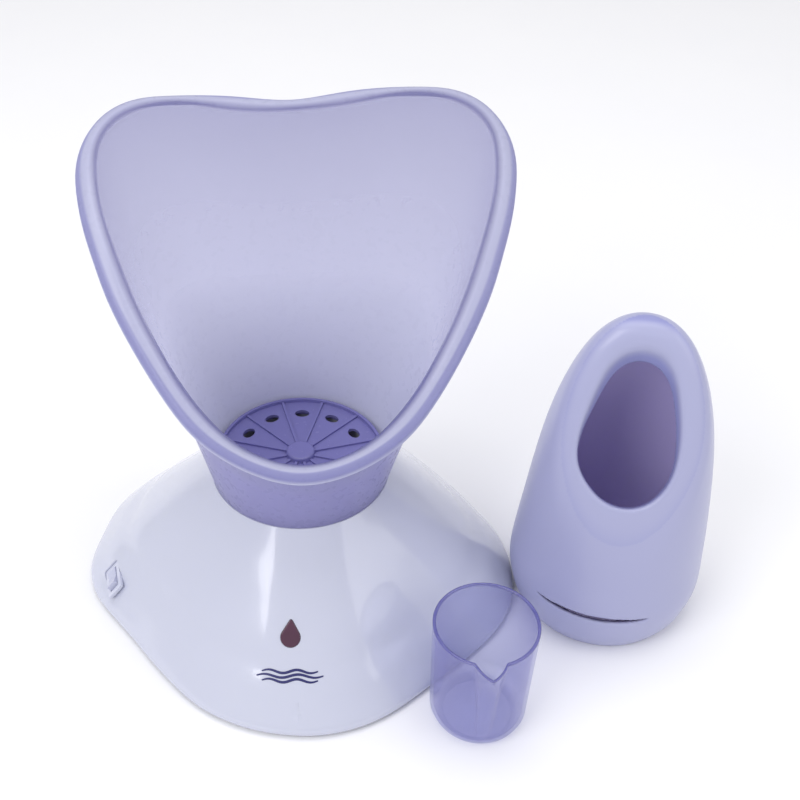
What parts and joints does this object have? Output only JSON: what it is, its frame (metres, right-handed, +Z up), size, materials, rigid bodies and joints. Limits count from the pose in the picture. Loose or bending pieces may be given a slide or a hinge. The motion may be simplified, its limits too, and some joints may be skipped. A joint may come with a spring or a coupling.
{
  "type": "facial steamer",
  "caption": "Tabletop facial steamer: wavy-brimmed base with heated water tank, steam grille and flared face mask, with a separate nose mask and a measuring cup.",
  "frame": {"origin": "on the table top under the axis of the base neck, at the middle of the foot ring", "axes": "+Z up along the neck axis, -Y towards the user (open low side of the face mask), +Y towards the cord outlet, +X to the right of the user, where the nose mask and cup stand"},
  "size_m": [0.3126, 0.2296, 0.2436],
  "materials": {
    "base_gloss": "gloss moulded plastic, pale lavender white",
    "plate_grey": "fine textured plastic",
    "foot_rubber": "soft non-slip ring",
    "seal_rubber": "silicone seal",
    "screw_steel": "zinc plated steel",
    "tank_plastic": "heat resistant plastic",
    "plate_metal": "coated aluminium",
    "element_metal": "sheathed element",
    "clamp_metal": "pressed steel",
    "part_black": "moulded phenolic",
    "shield_metal": "bright sheet",
    "lens_red": "translucent dark red",
    "lamp_glass": "neon lamp",
    "switch_white": "gloss plastic",
    "rocker_grey": "gloss plastic",
    "brass": "plated brass",
    "gland_white": "nylon",
    "wire_jacket": "silicone covered lead",
    "mask_clear": "translucent lilac",
    "grille_lilac": "translucent lilac",
    "nose_lilac": "smooth lilac plastic",
    "cup_clear": "clear tinted plastic"
  },
  "bodies": {
    "base": {"base_shell": "base_gloss", "base_plate": "plate_grey", "foot_ring": "foot_rubber", "base_screws": "screw_steel", "neck_gasket": "seal_rubber", "water_tank": "tank_plastic", "plate_seal": "seal_rubber", "heating_plate": "plate_metal", "heating_element": "element_metal", "heater_clamp": "clamp_metal", "clamp_screws": "screw_steel", "thermostat": "part_black", "thermostat_strap": "clamp_metal", "thermal_fuse": "part_black", "heat_shield": "shield_metal", "indicator_lens": "lens_red", "indicator_lamp": "lamp_glass", "lamp_holder": "tank_plastic", "switch_body": "switch_white", "switch_terminals": "brass", "cord_gland": "gland_white", "gland_nut": "gland_white", "cord_clamp": "tank_plastic", "cord_clamp_screws": "screw_steel", "terminal_block": "gland_white", "terminal_screws": "brass", "lead_wires": "wire_jacket"},
    "rocker": {"switch_rocker": "rocker_grey"},
    "diffuser": {"steam_diffuser": "grille_lilac"},
    "mask": {"face_mask": "mask_clear"},
    "nose_mask": {"nose_mask_shell": "nose_lilac", "nose_mask_ring": "nose_lilac"},
    "cup": {"measuring_cup": "cup_clear"}
  },
  "joints": [
    {"name": "mask_lift", "type": "slide", "parent": "base", "child": "diffuser", "axis": [0, 0, 1], "range_m": [0, 0.08]},
    {"name": "mask_twist", "type": "hinge", "parent": "diffuser", "child": "mask", "pos_m": [0, 0, 0.075], "axis": [0, 0, 1], "range_deg": [-20, 20]},
    {"name": "rocker_tilt", "type": "hinge", "parent": "base", "child": "rocker", "pos_m": [-0.09434, -0.02178, 0.01521], "axis": [0.6382, 0.1473, 0.7556], "range_deg": [0, 16]},
    {"name": "nose_mask_lift", "type": "slide", "parent": "base", "child": "nose_mask", "axis": [0, 0, 1], "range_m": [0, 0.08]},
    {"name": "cup_lift", "type": "slide", "parent": "base", "child": "cup", "axis": [0, 0, 1], "range_m": [0, 0.08]}
  ]
}
